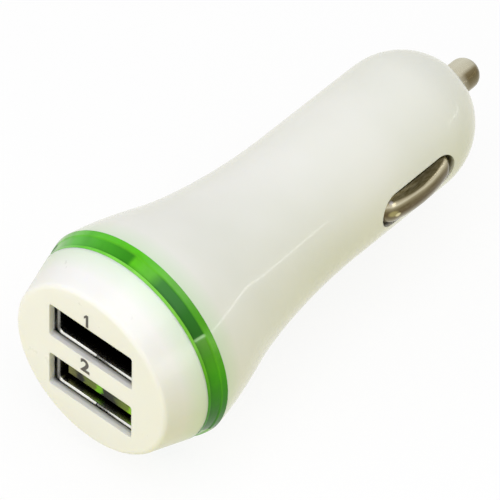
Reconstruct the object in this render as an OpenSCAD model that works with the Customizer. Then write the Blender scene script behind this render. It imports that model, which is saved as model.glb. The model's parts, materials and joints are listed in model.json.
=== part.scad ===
// Twin-port charger that plugs into a car's power socket.
// The origin is on the plug's axis, where the straight barrel begins and the rim of the socket comes.
// +Y runs along the barrel to the centre contact, +Z is up and the two ports lie one above the other.
// Inside the modules, y is counted from the flat port face: from_face() brings it to the origin.

/* [Cap] */
// Room between the corners of the two ports and the cap's skirt
port_room = 1.9; // [1.6:0.1:2.3]
// How much the cap's radius grows from the port face to the light ring
cap_lean = 1.85; // [1.5:0.05:2.1]
// Rounding between the port face and the cap's conical band
face_round = 0.8; // [0.4:0.1:1.2]
// Length of the cap from the port face to the light ring
cap_len = 6.0; // [5.4:0.1:7]
// Thickness of the cap's face plate
face_t = 1.0; // [0.9:0.1:1.2]
// Wall of the cap's skirt
skirt_t = 1.4; // [1:0.1:1.8]
// Length of the skirt behind the light ring
skirt_len = 3.4; // [2.8:0.1:4]
// Height of the snap bead round the skirt
bead_h = 0.3; // [0.2:0.05:0.4]

/* [Light ring] */
// Width of the light ring that shows
ring_w = 2.8; // [2.4:0.1:3.4]
// How much the ring's radius grows towards the body
ring_rise = 0.8; // [0.6:0.05:1]
// Depth of the groove round the ring
ring_groove = 0.2; // [0.1:0.05:0.3]
// Width of the ring's front rim
ring_rim_front = 0.4; // [0.3:0.05:0.6]
// Width of the ring's rear rim
ring_rim_rear = 0.75; // [0.5:0.05:0.9]
// Thickness of the ring's spigot inside the body
ring_spigot_t = 0.55; // [0.4:0.05:0.7]
// Length of the ring's spigot inside the body
ring_spigot_len = 1.6; // [1.2:0.1:2]

/* [Body] */
// Distance from the port face to the start of the straight barrel
barrel_y = 41.4; // [40.4:0.5:42.4]
// Diameter of the straight barrel
barrel_d = 19.5; // [19.2:0.1:19.8]
// How much the barrel's radius narrows between its collar and the nose
barrel_draft = 0.05; // [0:0.05:0.2]
// Length of the straight barrel
barrel_len = 17.4; // [17.2:0.1:18.2]
// Length of the plain collar at the start of the barrel, in front of the slots
collar_len = 2.9; // [2.5:0.1:3]
// Length of the rounded nose
nose_len = 10.2; // [9.6:0.1:10.8]
// Wall of the flare
flare_wall = 1.8; // [1.4:0.1:2]
// Wall of the barrel
barrel_wall = 1.5; // [1.3:0.1:1.6]
// Thickness of the nose behind the centre contact's hole
nose_wall = 4.4; // [4:0.1:4.8]
// Height of the two rails on each side that hold the circuit board
rail_h = 1.0; // [0.8:0.1:1.2]
// Length of the board rails
rail_len = 12.0; // [10:0.5:13]

/* [Side contacts] */
// Length of each slot in the barrel
slot_len = 14.0; // [13.5:0.1:14.3]
// Width of each slot in the barrel
slot_w = 5.4; // [5:0.1:5.6]
// Distance from the start of the barrel to the middle of the slots
slot_y = 10.2; // [10:0.1:10.4]
// How far the crown of each side contact stands out of the barrel
contact_proud = 1.15; // [1.05:0.05:1.25]
// Radius of the crown along the contact
crown_r = 20.0; // [18:0.5:24]
// Height of the rounded dome above the contact's straight walls
dome_h = 1.9; // [1.6:0.1:2.1]
// Thickness of the contact's sheet
contact_t = 0.4; // [0.3:0.05:0.5]
// Width of the lip that keeps the contact in its slot
lip_w = 0.8; // [0.6:0.05:0.8]
// Travel of each side contact into the barrel
side_travel = 1.1; // [0.8:0.1:1.1]
// Outer diameter of the spring under each side contact
side_spring_d = 3.2; // [2.8:0.1:3.4]
// Wire of the spring under each side contact
side_spring_wire = 0.4; // [0.3:0.05:0.5]
// Turns of the spring under each side contact
side_spring_turns = 6; // [4:1:7]

/* [Centre contact] */
// Length that the centre contact stands out of the nose
tip_out = 4.6; // [4:0.1:5.2]
// Diameter of the centre contact
tip_d = 4.4; // [4:0.1:4.8]
// Length of the centre contact's rounded end
tip_round = 2.0; // [1.6:0.1:2.2]
// Diameter of the flange that keeps the centre contact in the nose
flange_d = 7.2; // [6.8:0.1:7.4]
// Thickness of that flange
flange_t = 1.2; // [1:0.1:1.4]
// Travel of the centre contact into the nose
tip_travel = 3.5; // [3:0.1:3.5]
// Outer diameter of the centre contact's spring
tip_spring_d = 6.0; // [5.6:0.1:6.2]
// Wire of the centre contact's spring
tip_spring_wire = 0.5; // [0.4:0.05:0.6]
// Turns of the centre contact's spring
tip_spring_turns = 8; // [6:1:9]

/* [Ports] */
// Gap between a port and its window at each side
window_play = 0.4; // [0.3:0.05:0.5]
// Gap between a port and its window above and below
window_gap = 0.05; // [0.05:0.05:0.15]
// Distance between the middles of the two ports
port_pitch = 8.9; // [8.7:0.05:9.1]
// Outer width of a port's metal shell
port_w = 13.2; // [13:0.05:13.3]
// Outer height of a port's metal shell
port_h = 5.6; // [5.5:0.05:5.6]
// Sheet thickness of a port's metal shell
port_t = 0.3; // [0.25:0.01:0.35]
// Depth of the port shells behind the face
port_recess = 1.4; // [1.2:0.1:1.8]
// Length of a port's metal shell
port_len = 13.2; // [12.8:0.1:13.6]
// Gap between a port's tongue and its shell at each side
tongue_gap = 0.75; // [0.7:0.05:0.9]
// Thickness of a port's tongue
tongue_t = 1.84; // [1.7:0.02:1.9]

/* [Circuit board] */
// Thickness of the circuit board
board_t = 1.6; // [1.4:0.1:1.6]
// Gap between the board's edges and the housing round it
board_gap = 0.85; // [0.8:0.05:0.95]

/* [Hidden] */

// Overrun of every cut
cut = 0.5;
// Gap between fixed pieces that fit together
fit_gap = 0.05;
// Radial gap of the centre contact in its hole
tip_gap = 0.08;
// Gap round a side contact in its slot
slot_gap = 0.2;
// Free gap round a spring's ends
spring_gap = 0.05;

// Two skirt walls lie between the room round the ports and the outside of the cap
port_z = port_pitch / 2;
skirt_in_r = norm([port_w / 2, port_z + port_h / 2]) + port_room;
skirt_r = skirt_in_r + skirt_t;
cap_back_r = skirt_r + skirt_t;
face_r = cap_back_r - cap_lean;

// Body outline, with the flare's steepest place between the head and the barrel
head_r = cap_back_r + ring_rise;
barrel_r = barrel_d / 2;
barrel_end_r = barrel_r - barrel_draft;
barrel_in_r = barrel_r - barrel_wall;
ring_y = cap_len;
head_y = cap_len + ring_w;
flare_mid_r_share = 0.5315;
flare_mid_y_share = 0.31;
flare_mid_r = barrel_r + flare_mid_r_share * (head_r - barrel_r);
flare_mid_y = head_y + flare_mid_y_share * (barrel_y - head_y);
barrel_end = barrel_y + barrel_len;
nose_end = barrel_end + nose_len;
seat_y = nose_end - nose_wall;
flare_start_share = 0.153;
flare_steep_share = 0.321;
flare_front_share = 0.415;
flare_rear_share = 0.24;
barrel_handle_share = 0.36;
flare_steps = 14;
nose_steps = 20;

// Ring and cap
skirt_end = head_y + skirt_len;
skirt_room = 0.3;
hollow_y = skirt_end + skirt_room;
ring_in_r = skirt_r + fit_gap;
spigot_r = ring_in_r + ring_spigot_t;
spigot_end = head_y + ring_spigot_len;
bead_w = 2 * bead_h;
bead_y = spigot_end + bead_w;
guide_w = 1.8;
guide_h = 1.1;
guide_len = 4.4;
round_steps = 6;

// Ports
port_corner = 0.8;
window_w = port_w + 2 * window_play;
window_h = port_h + 2 * window_gap;
window_corner = 0.4;
port_end = port_recess + port_len;
port_in_w = port_w - 2 * port_t;
port_in_h = port_h - 2 * port_t;
tongue_w = port_in_w - 2 * tongue_gap;
tongue_drop = 0.6;
tongue_bevel = 0.35;
tongue_front = port_recess + tongue_drop + fit_gap;
tongue_top = port_z + port_in_h / 2 - tongue_drop;
tongue_under = tongue_top - tongue_t;
block_len = 2.2;
block_back = 1.4;
block_w = port_in_w - 2 * fit_gap;
foot_w = 11.0;
strip_w = 1.0;
strip_t = 0.25;
strip_set = 1.0;
strip_inner = 2.0;
strip_outer = 7.0;
tail_out = 0.5;
tail_step = 1.5;
leg_w = 1.6;
leg_step = 3.6;
leg_set = 6.7;
leg_y = port_recess + leg_set;
finger_w = 1.9;
finger_len = 5.4;
finger_slot = 0.5;
finger_y = port_recess + leg_w;
finger_x = port_w / 4;
seam_w = 0.06;

// Carrier of the contacts
carrier_gap = 0.2;
carrier_disc_t = 1.5;
slot_mid = barrel_y + slot_y;
board_end = slot_mid - slot_len / 2 - carrier_disc_t - carrier_gap - lip_w;
carrier_y = board_end + carrier_gap;
board_wide = 2 * (skirt_in_r - board_gap);
board_narrow = 2 * (barrel_in_r - board_gap);
board_tail = 3.6;
board_front_gap = 0.4;
board_front = face_t + board_front_gap;
board_taper_y = port_end + block_back;
board_taper_len = 8;
board_taper_end = board_taper_y + board_taper_len;
spring_room = 0.2;
carrier_bore_r = tip_spring_d / 2 + spring_room;
carrier_wall = 1.1;
carrier_r = carrier_bore_r + carrier_wall;
disc_gap = 0.1;
disc_flat = 1.65;
carrier_disc_r = barrel_in_r - disc_gap;
carrier_disc_w = 2 * (barrel_in_r - disc_flat);
carrier_web = 0.8;
// The centre spring's bore begins behind the solid stretch that the side springs press on
carrier_bore_y = slot_mid + side_spring_d / 2 + carrier_web;
carrier_end = seat_y - flange_t - tip_travel - carrier_gap;
terminal_t = 0.4;
strap_t = 0.3;
strap_w = 3.0;
strap_lift = 0.6;
strap_run = 1.6;
tab_w = 2.0;

// Side contacts
crown_x = barrel_r + contact_proud;
dome_w = slot_w - 2 * slot_gap;
lip_z = dome_w / 2 + lip_w;
lip_gap = 0.15;
lip_x = sqrt(pow(barrel_in_r - lip_gap, 2) - pow(lip_z, 2));
lip_drop = crown_x - lip_x;
contact_foot = crown_r - lip_drop - contact_t;
dome_foot = crown_r - dome_h;
end_angle = asin((slot_len / 2 - slot_gap - dome_w / 2) / dome_foot);
dome_steps = 6;
arc_steps = 6;
turn_steps = 14;
// The straps lie on the carrier's flats, clear of the lips when the contacts are pressed in
contact_room = 0.3;
lip_low_x = crown_x - crown_r + contact_foot * cos(end_angle) - lip_z * sin(end_angle);
carrier_flat = lip_low_x - side_travel - contact_room - strap_t;
tail_wall = 0.45;
board_tail_w = 2 * (carrier_flat - tail_wall);

// Centre contact
tip_r = tip_d / 2;
tip_end = nose_end + tip_out;
spigot_len = 2.5;
spigot_d = tip_spring_d - 4 * tip_spring_wire;
flange_y = seat_y - flange_t;
flange_gap = 0.35;
nose_bore_r = flange_d / 2 + flange_gap;
nose_bore_lead = 1.1;
bore_past = 1.1;
tip_steps = 8;

// Small parts on the board
board_top = board_t / 2;
led_size = [3.2, 1.6, 1.1];
inductor_w = 6.6;
inductor_h = 3.2;
can_d = 6.3;
can_h = 5.4;
can_base = 0.8;
part_gap = 1.2;
chip_size = [3.9, 4.9, 1.4];
chip_lead = [1.1, 0.42, 0.2];
chip_pitch = 1.27;
diode_size = [2.6, 4.3, 2.1];
fuse_size = [3.2, 4.6, 1.2];
resistor_size = [0.85, 1.6, 0.5];
resistor_step = 1.9;

// Moves what is modelled from the port face to the origin
module from_face() {
    translate([0, -barrel_y, 0]) children();
}

// Turns an outline of radius against distance round the plug's axis
module turned(sides = 128) {
    rotate([-90, 0, 0]) rotate_extrude($fn = sides) children();
}

// A disc or rod on the plug's axis
module rod(r, y, length, sides = 64) {
    translate([0, y, 0]) rotate([-90, 0, 0]) cylinder(r = r, h = length, $fn = sides);
}

// A box that is centred across the axis and begins at y
module block(w, y, length, z, h, x = 0) {
    translate([x - w / 2, y, z]) cube([w, length, h]);
}

// A side view, drawn as distance against height, given a width across the plug
module across(w, x = 0) {
    translate([x - w / 2, 0, 0]) rotate([90, 0, 90]) linear_extrude(w) children();
}

// A front view, drawn as width against height, given a length along the plug
module along(y, length) {
    translate([0, y + length, 0]) rotate([90, 0, 0]) linear_extrude(length) children();
}

// A rectangle with round corners
module rounded(w, h, r) {
    square([w - 2 * r, h], center = true);
    square([w, h - 2 * r], center = true);
    for (x = [-1, 1], y = [-1, 1])
        translate([x * (w / 2 - r), y * (h / 2 - r)]) circle(r, $fn = 32);
}

// A point of a smooth curve through the first and last of four points
function curve(p, t) =
    pow(1 - t, 3) * p[0] + 3 * pow(1 - t, 2) * t * p[1] + 3 * (1 - t) * t * t * p[2] + t * t * t * p[3];

// The flare in two smooth stretches that meet at its steepest place
function flare_front() = let (run = flare_mid_y - head_y) [
    [head_r, head_y],
    [head_r - flare_start_share * flare_front_share * run, head_y + flare_front_share * run],
    [flare_mid_r + flare_steep_share * flare_rear_share * run, flare_mid_y - flare_rear_share * run],
    [flare_mid_r, flare_mid_y]
];
function flare_rear() = let (run = barrel_y - flare_mid_y) [
    [flare_mid_r, flare_mid_y],
    [flare_mid_r - flare_steep_share * flare_rear_share * run, flare_mid_y + flare_rear_share * run],
    [barrel_r, barrel_y - barrel_handle_share * run],
    [barrel_r, barrel_y]
];
function flare_line() = [
    each [for (i = [0:flare_steps]) curve(flare_front(), i / flare_steps)],
    each [for (i = [1:flare_steps]) curve(flare_rear(), i / flare_steps)]
];
// The barrel narrows a little behind its collar, down to the start of the nose
function nose_line() = [
    for (i = [0:nose_steps]) let (a = 90 * i / nose_steps)
        [barrel_end_r * cos(a), barrel_end + nose_len * sin(a)]
];

// The flare's inner line keeps the flare wall and thins to the barrel's wall
function wall_at(y) =
    flare_wall + (barrel_wall - flare_wall) * (y - head_y) / (barrel_y - head_y);
function inner_line() = [for (p = flare_line()) if (p[1] > hollow_y) [p[0] - wall_at(p[1]), p[1]]];
function wall_middle() = [for (p = flare_line()) [p[0] - wall_at(p[1]) / 2, p[1]]];

// Hollow of the body, open at the front
module hollow() {
    first = inner_line()[0];
    turned() polygon([
        [0, head_y - cut],
        [skirt_r + fit_gap, head_y - cut],
        [skirt_r + fit_gap, hollow_y],
        [min(first[0], skirt_r + fit_gap), hollow_y],
        each inner_line(),
        [barrel_in_r, barrel_end + bore_past],
        [nose_bore_r, flange_y - nose_bore_lead],
        [nose_bore_r, seat_y],
        [0, seat_y]
    ]);
}

// Rounded slot through both sides of the barrel
module side_slots() {
    end = slot_len / 2 - slot_w / 2;
    difference() {
        translate([-barrel_d / 2, slot_mid, 0]) rotate([0, 90, 0]) union() {
            for (y = [-end, end]) translate([0, y, 0]) cylinder(d = slot_w, h = barrel_d, $fn = 64);
            translate([-slot_w / 2, -end, 0]) cube([slot_w, 2 * end, barrel_d]);
        }
        block(barrel_in_r, slot_mid - slot_len, 2 * slot_len, -slot_w, 2 * slot_w);
    }
}

// Rails that hold the edges of the board and end inside the wall
module board_rails() {
    y = board_end - rail_len - rail_h;
    rail_x = board_narrow / 2 - rail_h;
    rail_z = board_top + fit_gap + rail_h;
    difference() {
        intersection() {
            for (side = [-1, 1])
                block(head_r - rail_x, y, rail_len, -rail_z, 2 * rail_z, side * (head_r + rail_x) / 2);
            turned() polygon([[0, head_y], each wall_middle(), [0, barrel_y]]);
        }
        block(board_narrow + 2 * fit_gap, y - cut, rail_len + 2 * cut,
            -board_top - fit_gap, board_t + 2 * fit_gap);
    }
}

module body_shell() {
    color("ivory") from_face() {
        difference() {
            turned() polygon([
                [0, head_y],
                each flare_line(),
                [barrel_r, barrel_y + collar_len],
                each nose_line()
            ]);
            hollow();
            rod(spigot_r + fit_gap, head_y - cut, ring_spigot_len + fit_gap + cut, 128);
            turned() polygon([
                [skirt_r, bead_y - bead_w - fit_gap],
                [skirt_r + bead_h + fit_gap, bead_y - fit_gap],
                [skirt_r + bead_h + fit_gap, bead_y + fit_gap],
                [skirt_r, bead_y + bead_w + fit_gap]
            ]);
            rod(tip_r + tip_gap, seat_y - cut, nose_wall + 2 * cut);
            side_slots();
        }
        board_rails();
    }
}

// Rounded edge between the port face and the cone of the cap
function cap_slope() = atan((cap_back_r - face_r) / cap_len);
function cap_edge() = let (turn = 90 - cap_slope(), reach = face_round * tan(turn / 2)) [
    for (i = [0:round_steps]) let (a = -90 + turn * i / round_steps)
        [face_r - reach + face_round * cos(a), face_round + face_round * sin(a)]
];

module face_cap() {
    color("seashell") from_face() {
        difference() {
            turned() polygon([
                [0, 0],
                each cap_edge(),
                [cap_back_r, cap_len],
                [skirt_r, cap_len],
                [skirt_r, bead_y - bead_w],
                [skirt_r + bead_h, bead_y],
                [skirt_r, bead_y + bead_w],
                [skirt_r, skirt_end],
                [skirt_in_r, skirt_end],
                [skirt_in_r, cap_len],
                [face_r - skirt_t, face_t],
                [0, face_t]
            ]);
            for (side = [-1, 1]) translate([0, 0, side * port_z])
                along(-cut, face_t + 2 * cut) rounded(window_w, window_h, window_corner);
        }
        for (x = [-1, 1], z = [-1, 1])
            block(guide_w, face_t / 2, guide_len + face_t / 2,
                z > 0 ? board_top + fit_gap : -board_top - fit_gap - guide_h,
                guide_h, x * (port_w / 2 + guide_w));
    }
}

module light_ring() {
    slope = (head_r - cap_back_r) / ring_w;
    front = ring_y + ring_rim_front;
    rear = head_y - ring_rim_rear;
    color("limegreen") from_face() turned() polygon([
        [ring_in_r, ring_y],
        [cap_back_r, ring_y],
        [cap_back_r + slope * ring_rim_front, front],
        [cap_back_r + slope * ring_rim_front - ring_groove, front + ring_groove],
        [head_r - slope * ring_rim_rear - ring_groove, rear - ring_groove],
        [head_r - slope * ring_rim_rear, rear],
        [head_r, head_y],
        [spigot_r, head_y],
        [spigot_r, spigot_end],
        [ring_in_r, spigot_end]
    ]);
}

// The lower port is the upper one turned over, with its legs and tails set further along
module each_side(side) {
    if (side > 0) children();
    else mirror([0, 0, 1]) children();
}
function leg_start(side) = side > 0 ? leg_y + leg_step : leg_y;
function tail_y(side) = port_end + block_back + (side > 0 ? 0 : tail_step);

// U-shaped cuts that free two fingers in a wide wall of the shell
module finger_cuts(z) {
    for (x = [-1, 1]) difference() {
        block(finger_w + 2 * finger_slot, finger_y, finger_len + finger_slot,
            z, port_t + 2 * cut, x * finger_x);
        block(finger_w, finger_y - cut, finger_len + cut, z - cut, port_t + 4 * cut, x * finger_x);
    }
}

module usb_shell(side) {
    color("silver") from_face() each_side(side) {
        difference() {
            translate([0, 0, port_z]) along(port_recess, port_len) difference() {
                rounded(port_w, port_h, port_corner);
                rounded(port_in_w, port_in_h, port_corner - port_t);
            }
            finger_cuts(port_z + port_h / 2 - port_t - cut);
            finger_cuts(port_z - port_h / 2 - cut);
            block(seam_w, port_recess - cut, port_len + 2 * cut,
                side > 0 ? port_z - port_h / 2 - cut : port_z + port_h / 2 - port_t - cut, port_t + 2 * cut);
        }
        for (x = [-1, 1])
            block(port_t, leg_start(side), leg_w, -board_top - tail_out, board_top + tail_out + port_z,
                x * (port_w / 2 - port_t / 2));
    }
}

module strip_cuts(side, y, length) {
    for (x = [-strip_outer / 2, -strip_inner / 2, strip_inner / 2, strip_outer / 2])
        block(strip_w, y, length, tongue_under - strip_t, strip_t, x);
}

module usb_tongue(side) {
    color(side > 0 ? "black" : "green") from_face() each_side(side) difference() {
        union() {
            across(tongue_w) polygon([
                [tongue_front + tongue_bevel, tongue_under],
                [tongue_front, tongue_under + tongue_bevel],
                [tongue_front, tongue_top - tongue_bevel],
                [tongue_front + tongue_bevel, tongue_top],
                [port_end - block_len / 2, tongue_top],
                [port_end - block_len / 2, tongue_under]
            ]);
            translate([0, 0, port_z]) along(port_end - block_len, block_len + block_back / 2)
                rounded(block_w, port_in_h - 2 * fit_gap, port_corner - port_t - fit_gap);
            block(foot_w, port_end, block_back, board_top, tongue_top - board_top);
        }
        strip_cuts(side, port_end - block_len - cut, block_len + block_back + 2 * cut);
    }
}

module usb_contacts(side) {
    back = tail_y(side);
    foot = -board_top - tail_out;
    color("gold") from_face() each_side(side)
        for (x = [-strip_outer / 2, -strip_inner / 2, strip_inner / 2, strip_outer / 2])
            across(strip_w, x) polygon([
                [tongue_front + strip_set, tongue_under - strip_t],
                [tongue_front + strip_set, tongue_under],
                [back + strip_t, tongue_under],
                [back + strip_t, foot],
                [back, foot],
                [back, tongue_under - strip_t]
            ]);
}

module circuit_board() {
    half = board_wide / 2;
    narrow = board_narrow / 2;
    tail = board_tail_w / 2;
    color("darkgreen") from_face() difference() {
        translate([0, 0, -board_top]) linear_extrude(board_t) polygon([
            [-half, board_front], [half, board_front],
            [half, board_taper_y], [narrow, board_taper_end],
            [narrow, board_end], [tail, board_end],
            [tail, board_end + board_tail], [-tail, board_end + board_tail],
            [-tail, board_end], [-narrow, board_end],
            [-narrow, board_taper_end], [-half, board_taper_y]
        ]);
        for (side = [-1, 1]) {
            for (x = [-1, 1])
                block(port_t + 2 * fit_gap, leg_start(side) - fit_gap, leg_w + 2 * fit_gap,
                    -board_top - cut, board_t + 2 * cut, x * (port_w / 2 - port_t / 2));
            for (x = [-strip_outer / 2, -strip_inner / 2, strip_inner / 2, strip_outer / 2])
                block(strip_w + 2 * fit_gap, tail_y(side) - fit_gap, strip_t + 2 * fit_gap,
                    -board_top - cut, board_t + 2 * cut, x);
        }
    }
}

// Places of the parts along the board
row_y = tail_y(-1) + part_gap;
inductor_y = row_y + inductor_w / 2;
output_y = inductor_y + inductor_w / 2 + part_gap / 2 + can_d / 2;
input_y = output_y + can_d + part_gap / 2;
diode_y = row_y + chip_size[1] + part_gap;
fuse_y = diode_y + diode_size[1] + part_gap;

module converter_chip() {
    z = -board_top - chip_size[2];
    color("dimgray") from_face() {
        block(chip_size[0], row_y, chip_size[1], z, chip_size[2]);
        for (x = [-1, 1], i = [0:3])
            block(chip_lead[0], row_y + (chip_size[1] - chip_lead[1]) / 2 + (i - 1.5) * chip_pitch,
                chip_lead[1], -board_top - chip_lead[2], chip_lead[2], x * (chip_size[0] + chip_lead[0]) / 2);
    }
}

module power_inductor() {
    color("slategray") from_face() translate([0, inductor_y, board_top]) {
        translate([-inductor_w / 2, -inductor_w / 2, 0]) cube([inductor_w, inductor_w, can_base]);
        cylinder(d = inductor_w - 2 * can_base, h = inductor_h, $fn = 48);
        translate([0, 0, inductor_h - can_base]) cylinder(d = inductor_w, h = can_base, $fn = 48);
    }
}

// Aluminium can on a square moulded base
module can_capacitor(y) {
    translate([0, y, board_top]) {
        translate([-can_d / 2, -can_d / 2, 0]) cube([can_d, can_d, can_base]);
        translate([0, 0, can_base]) cylinder(d = can_d - can_base, h = can_base, $fn = 48);
        translate([0, 0, 2 * can_base]) cylinder(d = can_d, h = can_h - 2 * can_base, $fn = 48);
    }
}

module input_capacitor() {
    color("lightgray") from_face() can_capacitor(input_y);
}

module output_capacitor() {
    color("lightgray") from_face() can_capacitor(output_y);
}

// A moulded chip part on the underside of the board, with its two end tabs
module under_part(size, y, x = 0) {
    tab = [size[0] / 2, chip_lead[1], chip_lead[2]];
    block(size[0], y, size[1], -board_top - size[2], size[2], x);
    for (end = [y - tab[1], y + size[1]]) block(tab[0], end, tab[1], -board_top - tab[2], tab[2], x);
}

module catch_diode() {
    color("black") from_face() under_part(diode_size, diode_y);
}

module input_fuse() {
    color("darkgoldenrod") from_face() under_part(fuse_size, fuse_y);
}

module chip_resistors() {
    x = chip_size[0] / 2 + chip_lead[0] + part_gap;
    color("black") from_face() for (side = [-1, 1], i = [0:2])
        block(resistor_size[0], row_y + i * resistor_step, resistor_size[1],
            -board_top - resistor_size[2], resistor_size[2], side * x);
}

module indicator_leds() {
    color("palegreen") from_face() for (side = [-1, 1])
        block(led_size[0], head_y - led_size[1] / 2, led_size[1], board_top, led_size[2],
            side * (board_wide / 2 - led_size[0] / 2));
}

// Moulded block that grips the board's tail, guides the centre spring and backs the side springs
module contact_carrier() {
    color("whitesmoke") from_face() difference() {
        union() {
            intersection() {
                rod(carrier_disc_r, carrier_y, carrier_disc_t, 96);
                block(carrier_disc_w, carrier_y - cut, carrier_disc_t + 2 * cut, -barrel_r, barrel_d);
            }
            rod(carrier_r, carrier_y, carrier_end - carrier_y);
            block(2 * carrier_flat, carrier_y, carrier_end - carrier_y, -strap_w / 2, strap_w);
        }
        block(board_tail_w + 2 * fit_gap, carrier_y - cut, board_tail - carrier_gap + fit_gap + cut,
            -board_top - fit_gap, board_t + 2 * fit_gap);
        block(tab_w + 2 * fit_gap, carrier_y - cut, carrier_bore_y - carrier_y + 2 * cut,
            board_top, strap_t + fit_gap);
        rod(carrier_bore_r, carrier_bore_y, carrier_end - carrier_bore_y + cut);
        for (side = [-1, 1])
            block(carrier_r, carrier_y + carrier_disc_t, carrier_end, -carrier_r, 2 * carrier_r,
                side * (carrier_flat + carrier_r / 2));
        for (side = [-1, 1])
            block(strap_t + 2 * fit_gap, carrier_y - cut, carrier_disc_t + 2 * cut, board_top,
                strap_lift + fit_gap, side * (carrier_flat + strap_t / 2));
    }
}

module positive_terminal() {
    color("goldenrod") from_face() {
        rod(carrier_bore_r - fit_gap, carrier_bore_y, terminal_t);
        block(tab_w, board_end - strap_run, carrier_bore_y + terminal_t / 2 - board_end + strap_run,
            board_top, strap_t);
    }
}

// Strip on the flat of the carrier that joins a side spring to the board
module ground_strap(side) {
    x = side * (carrier_flat + strap_t / 2);
    front = board_end + board_tail - carrier_disc_t;
    color("goldenrod") from_face() {
        block(strap_t, front, slot_mid + side_spring_d / 2 - front, -strap_w / 2, strap_w, x);
        block(strap_t, board_end - strap_run, front + strap_t - board_end + strap_run,
            board_top, strap_lift, x);
    }
}

function tip_line() = [
    for (i = [0:tip_steps]) let (a = 90 * i / tip_steps)
        [tip_r * cos(a), tip_end - tip_round + tip_round * sin(a)]
];

module centre_contact() {
    color("silver") from_face() turned(64) polygon([
        [0, flange_y - spigot_len],
        [spigot_d / 2, flange_y - spigot_len],
        [spigot_d / 2, flange_y],
        [flange_d / 2, flange_y],
        [flange_d / 2, seat_y],
        [tip_r, seat_y],
        each tip_line()
    ]);
}

// A coil of round wire that stands on z = 0
module coil(d, wire, length, turns) {
    sides = 6;
    steps = 14;
    count = steps * turns;
    middle = (d - wire) / 2;
    points = [for (i = [0:count], k = [0:sides - 1])
        let (a = 360 * i / steps, b = 360 * k / sides, r = middle + wire / 2 * cos(b))
        [r * cos(a), r * sin(a), wire / 2 + (length - wire) * i / count + wire / 2 * sin(b)]];
    faces = [
        [for (k = [0:sides - 1]) k],
        [for (k = [sides - 1:-1:0]) count * sides + k],
        for (i = [0:count - 1], k = [0:sides - 1]) let (n = (k + 1) % sides)
            [i * sides + k, (i + 1) * sides + k, (i + 1) * sides + n],
        for (i = [0:count - 1], k = [0:sides - 1]) let (n = (k + 1) % sides)
            [i * sides + k, (i + 1) * sides + n, i * sides + n]
    ];
    polyhedron(points, faces);
}

module contact_spring() {
    start = carrier_bore_y + terminal_t + spring_gap;
    color("silver") from_face() translate([0, start, 0]) rotate([-90, 0, 0])
        coil(tip_spring_d, tip_spring_wire, flange_y - spring_gap - start, tip_spring_turns);
}

// How far the inside of the dome falls away at the rim of the spring
function dome_sag() = (dome_h - contact_t) * (1 - sqrt(1 - pow(side_spring_d / (dome_w - 2 * contact_t), 2)));

module side_spring(side) {
    start = carrier_flat + strap_t + spring_gap;
    stop = crown_x - contact_t - dome_sag() - spring_gap;
    color("silver") from_face() translate([side * start, slot_mid, 0]) rotate([0, side * 90, 0])
        coil(side_spring_d, side_spring_wire, stop - start, side_spring_turns);
}

// Section of the contact's sheet, as half width against distance from the centre of the crown's arc.
// It runs down the outside of the dome, round the lip and back up the inside.
function contact_section() = [
    for (i = [dome_steps - 1:-1:0]) let (a = 90 * i / dome_steps)
        [dome_w / 2 * cos(a), dome_foot + dome_h * sin(a)],
    [dome_w / 2, contact_foot + contact_t],
    [lip_z, contact_foot + contact_t],
    [lip_z, contact_foot],
    [dome_w / 2 - contact_t, contact_foot],
    for (i = [0:dome_steps - 1]) let (a = 90 * i / dome_steps)
        [(dome_w / 2 - contact_t) * cos(a), dome_foot + (dome_h - contact_t) * sin(a)]
];

// Stations round the contact: angle along the crown's arc, and heading from straight across to straight ahead
function station(j) =
    j <= arc_steps ? [end_angle * (2 * j / arc_steps - 1), 90]
    : j < arc_steps + turn_steps ? [end_angle, 90 - 180 * (j - arc_steps) / turn_steps]
    : j <= 2 * arc_steps + turn_steps
        ? [end_angle * (1 - 2 * (j - arc_steps - turn_steps) / arc_steps), -90]
    : [-end_angle, -90 - 180 * (j - 2 * arc_steps - turn_steps) / turn_steps];
function on_arc(w, h, at) = [
    h * cos(at[0]) - w * cos(at[1]) * sin(at[0]),
    h * sin(at[0]) + w * cos(at[1]) * cos(at[0]),
    w * sin(at[1])
];
function crown_of(j) =
    max(0, min(arc_steps, j <= arc_steps + turn_steps ? j : 2 * arc_steps + turn_steps - j));

// Sheet contact: a boat-shaped dome with a lip round its foot, open below
module side_contact(side) {
    section = contact_section();
    around = 2 * (arc_steps + turn_steps);
    rings = len(section);
    points = [
        for (p = section, j = [0:around - 1]) on_arc(p[0], p[1], station(j)),
        for (h = [crown_r, crown_r - contact_t], k = [0:arc_steps]) on_arc(0, h, station(k))
    ];
    outside = rings * around;
    inside = outside + arc_steps + 1;
    last = (rings - 1) * around;
    faces = [
        for (i = [0:rings - 2], j = [0:around - 1]) let (n = (j + 1) % around, a = i * around, b = a + around)
            each [[a + j, b + j, b + n], [a + j, b + n, a + n]],
        for (j = [0:around - 1]) let (n = (j + 1) % around, c = crown_of(j), d = crown_of(n)) each [
            [j, n, outside + d],
            [last + j, inside + d, last + n],
            if (c != d) [j, outside + d, outside + c],
            if (c != d) [last + j, inside + c, inside + d]
        ]
    ];
    color("silver") from_face() mirror([side > 0 ? 0 : 1, 0, 0])
        translate([crown_x - crown_r, slot_mid, 0]) polyhedron(points, faces);
}

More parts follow.
